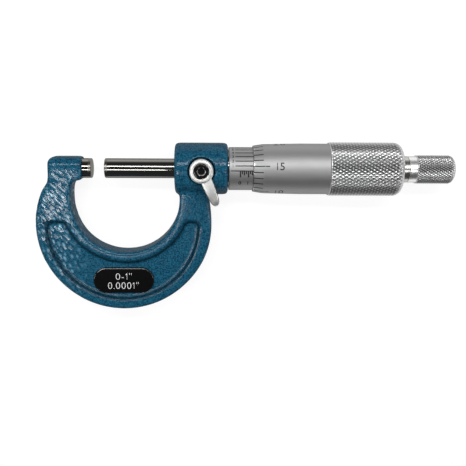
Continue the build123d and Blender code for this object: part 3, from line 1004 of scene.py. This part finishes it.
# ---------------------------------------------------------------- lock lever
HUB_RADIUS = 3.8
HUB_EDGE = 0.7
HUB_BORE = 2.55
HUB_SEAT = 1.15
HUB_SHAFT = 1.2
HUB_CHAMFER = 0.1
HUB_STEPS = 8
HUB_SEGMENTS = 96
HUB_CREASE = 32.0
# how far each point of the fine ring round the bore lies below the top, and outside the bore
HUB_RING = ((0.0, 0.34), (0.1, 0.28), (0.1, 0.22), (0.02, 0.16), (0.1, 0.0))
BLADE_TURN = math.radians(-67.5)
BLADE_OFFSET = 0.35
BLADE_START = 1.9
BLADE_END = 12.15
BLADE_TIP = 2.1
BLADE_TOP = 0.38
BLADE_HEIGHT = 1.15
BLADE_DROOP = 1.0
BLADE_STATIONS = 40
BLADE_RING = 40
BLADE_HALF = 1.85
BLADE_TAPER_START = 5.0
BLADE_TAPER_LENGTH = 5.0
BLADE_TAPER = 0.40
BLADE_TAPER_POWER = 1.5
BLADE_TIP_POWER = 2.3
BLADE_SIDE_POWER = 0.42
BLADE_RISE_POWER = 0.62
BLADE_THIN_BELOW = 0.9
BLADE_FLANK = 0.70
BLADE_CROWN = 0.93
BLADE_LAST = 0.002


def blade_half_width(along):
    """Half the blade's width at a distance from the lock's middle: full near the hub, round at the tip."""
    tapered = max(0.0, along - BLADE_TAPER_START) / BLADE_TAPER_LENGTH
    sides = BLADE_HALF - BLADE_TAPER * tapered**BLADE_TAPER_POWER
    tip = max(0.0, along - (BLADE_END - BLADE_TIP)) / BLADE_TIP
    return sides * max(0.0, 1.0 - tip**BLADE_TIP_POWER) ** 0.5


def signed_power(value, power):
    """The power of a value's size, with the value's sign."""
    return math.copysign(abs(value) ** power, value)


def make_lock_lever(material):
    top = high("lock_lever").z
    bottom = low("lock_lever").z
    profile = [
        (bottom, HUB_SHAFT),
        (bottom, HUB_RADIUS - HUB_CHAMFER),
        (bottom + HUB_CHAMFER, HUB_RADIUS),
    ]
    for step in range(HUB_STEPS + 1):
        angle = math.pi / 2 * step / HUB_STEPS
        rise = HUB_EDGE * math.sin(angle)
        profile.append((top - HUB_EDGE + rise, HUB_RADIUS - HUB_EDGE + HUB_EDGE * math.cos(angle)))
    profile += [(top - drop, HUB_BORE + out) for drop, out in HUB_RING]
    profile += [(top - HUB_SEAT, HUB_BORE), (top - HUB_SEAT, HUB_SHAFT)]
    mesh = lathe("lock_lever_body", [(x, radius, 0.0) for x, radius in profile], HUB_SEGMENTS)
    mesh.transform(Matrix.Translation((LOCK_X * MM, 0, 0)) @ Matrix.Rotation(math.radians(-90), 4, "Y"))
    shaper = bmesh.new()
    shaper.from_mesh(mesh)
    dark = shaper.verts.layers.float["groove"]
    ahead = Vector((math.cos(BLADE_TURN), math.sin(BLADE_TURN), 0.0))
    across = Vector((-math.sin(BLADE_TURN), math.cos(BLADE_TURN), 0.0))
    rings = []
    for station in range(BLADE_STATIONS + 1):
        share = math.sin(math.pi / 2 * station / BLADE_STATIONS)
        along = BLADE_START + (BLADE_END - BLADE_LAST - BLADE_START) * share
        half = blade_half_width(along)
        thin = min(1.0, half / BLADE_THIN_BELOW)
        drooped = max(0.0, (along - BLADE_TAPER_START) / (BLADE_END - BLADE_TAPER_START))
        middle = top - BLADE_TOP - BLADE_HEIGHT / 2 - BLADE_DROOP * drooped**2
        ring = []
        for index in range(BLADE_RING):
            angle = math.tau * index / BLADE_RING
            side = signed_power(math.cos(angle), BLADE_SIDE_POWER)
            rise = signed_power(math.sin(angle), BLADE_RISE_POWER)
            place = Vector((LOCK_X, 0.0, middle + rise * BLADE_HEIGHT / 2 * thin))
            place += ahead * along + across * (BLADE_OFFSET + half * side)
            corner = shaper.verts.new(place * MM)
            # painted shade: the blade's sides are marked dark through groove, from its crown down its flanks
            corner[dark] = 1.0 - ramp(rise, BLADE_FLANK, BLADE_CROWN)
            ring.append(corner)
        rings.append(ring)
    for first, second in zip(rings, rings[1:]):
        for index in range(BLADE_RING):
            beside = (index + 1) % BLADE_RING
            shaper.faces.new((first[index], first[beside], second[beside], second[index]))
    shaper.faces.new(list(reversed(rings[0])))
    shaper.faces.new(rings[-1])
    bmesh.ops.recalc_face_normals(shaper, faces=shaper.faces)
    shaper.to_mesh(mesh)
    shaper.free()
    shade_by_angle(mesh, HUB_CREASE)
    piece = new_piece("lock_lever_body", mesh, material, "lock")
    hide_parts("lock_lever")


# ---------------------------------------------------------------- marks and numerals
MARK_LIFT = 0.012
LABEL_LIFT = 0.01
LABEL_WEIGHT = -0.018
FACE_LENGTH = 1.2
FACE_DEGREES = 2.5
CUT_HEIGHT = 0.2
ZERO_X = 47.5
INCH = 25.4
SCALE_TICKS = 40
TICKS_PER_NUMBER = 4
SCALE_STEP = INCH / SCALE_TICKS
NUMBERED_TICK = 2.1
MIDDLE_TICK = 1.4
SHORT_TICK = 1.05
SCALE_DIGIT = 1.4
SCALE_DIGIT_SHIFT = 0.15
SCALE_DIGIT_ANGLE = -34.5
SLEEVE_RADIUS = high("outer_sleeve").z
INDEX_START = 44.4
VERNIER_START = 45.9
SCALE_END = 74.2
READING = 14.2
THIMBLE_DIVISIONS = 25
DIVISIONS_PER_NUMBER = 5
DIVISION_START = 0.08
DIVISION_END = 3.1
NUMBERED_DIVISION_END = 5.1
THIMBLE_DIGIT = 2.4
THIMBLE_DIGIT_X = 8.45
VERNIER_STEP = 12.96
VERNIER_LINES = 10
VERNIER_DIGIT = 0.95
VERNIER_DIGIT_X = 0.75
LINE_WIDTH = 0.32
TICK_WIDTH = 0.45
DIGIT_HEIGHT = 0.69
ONE_STROKE = 0.07
ONE_FLAG = 0.12
FLAG_DROP = 0.17
FLAG_FOOT = 0.10
FONT_STEPS = 6
GLYPH_GAP = 0.15
ENGRAVED_GAP = 0.22
QUOTE_GAP = 0.06


def strip(shaper, x0, x1, angle0, angle1, radius_at):
    """A patch that lies on a turned surface, between two places along it and two angles in degrees."""
    columns = max(1, math.ceil((x1 - x0) / FACE_LENGTH))
    rows = max(1, math.ceil(abs(angle1 - angle0) / FACE_DEGREES))
    grid = []
    for column in range(columns + 1):
        x = x0 + (x1 - x0) * column / columns
        line = []
        for row in range(rows + 1):
            angle = math.radians(angle0 + (angle1 - angle0) * row / rows)
            line.append(shaper.verts.new(around(x, radius_at(x) + MARK_LIFT, angle)))
        grid.append(line)
    for column in range(columns):
        for row in range(rows):
            corners = (
                grid[column][row],
                grid[column + 1][row],
                grid[column + 1][row + 1],
                grid[column][row + 1],
            )
            shaper.faces.new(corners)


def line_along(shaper, x0, x1, angle, width, radius_at):
    half = math.degrees(width / 2 / radius_at((x0 + x1) / 2))
    strip(shaper, x0, x1, angle - half, angle + half, radius_at)


def glyph(character, weight, flag):
    """One character's flat mesh at font size 1, with its left side at x 0, standing on y 0."""
    if character == "1":
        stroke = ONE_STROKE + 2 * weight
        left = flag
        right = left + stroke
        foot = -weight
        tip = DIGIT_HEIGHT + weight
        outline = [
            (left, foot),
            (right, foot),
            (right, tip),
            (right - 0.8 * stroke, tip),
        ]
        if flag:
            outline += [
                (0.0, tip - FLAG_DROP),
                (0.0, tip - FLAG_DROP - 0.9 * stroke),
                (left, tip - FLAG_FOOT - 0.4 * stroke),
            ]
        mesh = bpy.data.meshes.new("one")
        mesh.from_pydata([(x, y, 0.0) for x, y in outline], [], [tuple(range(len(outline)))])
        return mesh
    data = bpy.data.curves.new("text", "FONT")
    data.body = character
    data.offset = weight
    data.resolution_u = FONT_STEPS
    holder = bpy.data.objects.new("text", data)
    bpy.context.scene.collection.objects.link(holder)
    evaluated = holder.evaluated_get(bpy.context.evaluated_depsgraph_get())
    mesh = bpy.data.meshes.new_from_object(evaluated)
    bpy.data.objects.remove(holder)
    mesh.transform(Matrix.Translation((-min(vertex.co.x for vertex in mesh.vertices), 0, 0)))
    return mesh


def flat_text(text, height, weight, width=None, gap=GLYPH_GAP, flag=ONE_FLAG):
    """The mesh of a text, centred on the origin, with digits of the given height in millimetres."""
    line = bmesh.new()
    start = 0.0
    for character in text:
        mesh = glyph(character, weight, flag)
        start += QUOTE_GAP if character == '"' else 0.0
        mesh.transform(Matrix.Translation((start, 0, 0)))
        start = max(vertex.co.x for vertex in mesh.vertices) + gap
        line.from_mesh(mesh)
    mesh = bpy.data.meshes.new("text")
    line.to_mesh(mesh)
    line.free()
    across = start - gap
    scale_y = height / (DIGIT_HEIGHT + 2 * weight)
    scale_x = width / across if width else scale_y
    for vertex in mesh.vertices:
        x, y, _ = vertex.co
        vertex.co = ((x - across / 2) * scale_x, (y - DIGIT_HEIGHT / 2) * scale_y, 0.0)
    return mesh


def wrapped_text(shaper, text, height, x, angle, radius_at, weight):
    """Adds a text that lies on a turned surface, reading along +X, centred at x and the angle in degrees."""
    mesh = flat_text(text, height, weight, gap=ENGRAVED_GAP, flag=0.0)
    letters = bmesh.new()
    letters.from_mesh(mesh)
    cuts = math.ceil(height / CUT_HEIGHT)
    for index in range(1, cuts):
        level = -height / 2 + height * index / cuts
        geometry = letters.verts[:] + letters.edges[:] + letters.faces[:]
        bmesh.ops.bisect_plane(letters, geom=geometry, plane_co=(0, level, 0), plane_no=(0, 1, 0))
    made = {}
    for vertex in letters.verts:
        here = x + vertex.co.x
        radius = radius_at(here) + MARK_LIFT
        turn = math.radians(angle) + vertex.co.y / radius
        made[vertex] = shaper.verts.new(around(here, radius, turn))
    for face in letters.faces:
        shaper.faces.new([made[vertex] for vertex in face.verts])
    letters.free()


def finish_marks(shaper, name, material, body):
    """Makes the marks that are drawn in the shaper one piece, and frees it."""
    mesh = bpy.data.meshes.new(name)
    shaper.to_mesh(mesh)
    shaper.free()
    smooth(mesh)
    new_piece(name, mesh, material, body)


def sleeve_radius_at(x):
    """The sleeve's outer radius, which is the same at every x."""
    return SLEEVE_RADIUS


def make_sleeve_marks(material):
    shaper = bmesh.new()
    line_along(shaper, INDEX_START, SCALE_END, 0.0, LINE_WIDTH, sleeve_radius_at)
    for index in range(SCALE_TICKS + 1):
        x = ZERO_X + index * SCALE_STEP
        numbered = index % TICKS_PER_NUMBER == 0
        length = NUMBERED_TICK if numbered else MIDDLE_TICK if index % 2 == 0 else SHORT_TICK
        reach = -math.degrees(length / SLEEVE_RADIUS)
        strip(shaper, x - TICK_WIDTH / 2, x + TICK_WIDTH / 2, 0.0, reach, sleeve_radius_at)
        if numbered:
            digit = str(index // TICKS_PER_NUMBER % 10)
            place = (x - SCALE_DIGIT_SHIFT, SCALE_DIGIT_ANGLE)
            wrapped_text(shaper, digit, SCALE_DIGIT, *place, sleeve_radius_at, weight=0.035)
    for index in range(1, VERNIER_LINES + 1):
        angle = index * VERNIER_STEP
        line_along(shaper, VERNIER_START, SCALE_END, angle, LINE_WIDTH, sleeve_radius_at)
        place = (INDEX_START + VERNIER_DIGIT_X, angle)
        wrapped_text(shaper, str(index % 10), VERNIER_DIGIT, *place, sleeve_radius_at, weight=0.02)
    finish_marks(shaper, "sleeve_marks", material, "sleeve")


def make_thimble_marks(material):
    shaper = bmesh.new()
    edge = low("thimble").x
    for division in range(THIMBLE_DIVISIONS):
        angle = (division - READING) * 360 / THIMBLE_DIVISIONS
        numbered = division % DIVISIONS_PER_NUMBER == 0
        end = edge + (NUMBERED_DIVISION_END if numbered else DIVISION_END)
        line_along(shaper, edge + DIVISION_START, end, angle, LINE_WIDTH, thimble_radius_at)
        if numbered:
            place = (edge + THIMBLE_DIGIT_X, angle)
            wrapped_text(shaper, str(division), THIMBLE_DIGIT, *place, thimble_radius_at, weight=0.006)
    finish_marks(shaper, "thimble_marks", material, "thimble_group")


def make_label_text(material):
    shaper = bmesh.new()
    top = high("label_plate").z + LABEL_LIFT
    lines = [('0-1"', 2.1, 5.2, 9.7, -35.1), ('0.0001"', 2.15, 10.0, 9.5, -38.2)]
    for text, height, width, x, y in lines:
        mesh = flat_text(text, height, LABEL_WEIGHT, width)
        mesh.transform(Matrix.Translation((x, y, top)))
        mesh.transform(Matrix.Scale(MM, 4))
        shaper.from_mesh(mesh)
    finish_marks(shaper, "label_text", material, "root")


# ---------------------------------------------------------------- putting it together
make_camera()
make_lamps()
make_world()
make_floor()
bpy.context.scene.view_settings.view_transform = "Standard"

finish_of = make_materials()
for name, part in parts.items():
    part.data.materials.clear()
    part.data.materials.append(finish_of[slot_of[name]])

make_frame_casting(finish_of["enamel"])
make_thimble(finish_of["satin_chrome"])
make_ratchet_knob(finish_of["satin_chrome"])
make_lock_lever(finish_of["lever_chrome"])
make_sleeve_marks(finish_of["black_paint"])
make_thimble_marks(finish_of["black_paint"])
make_label_text(finish_of["white_paint"])
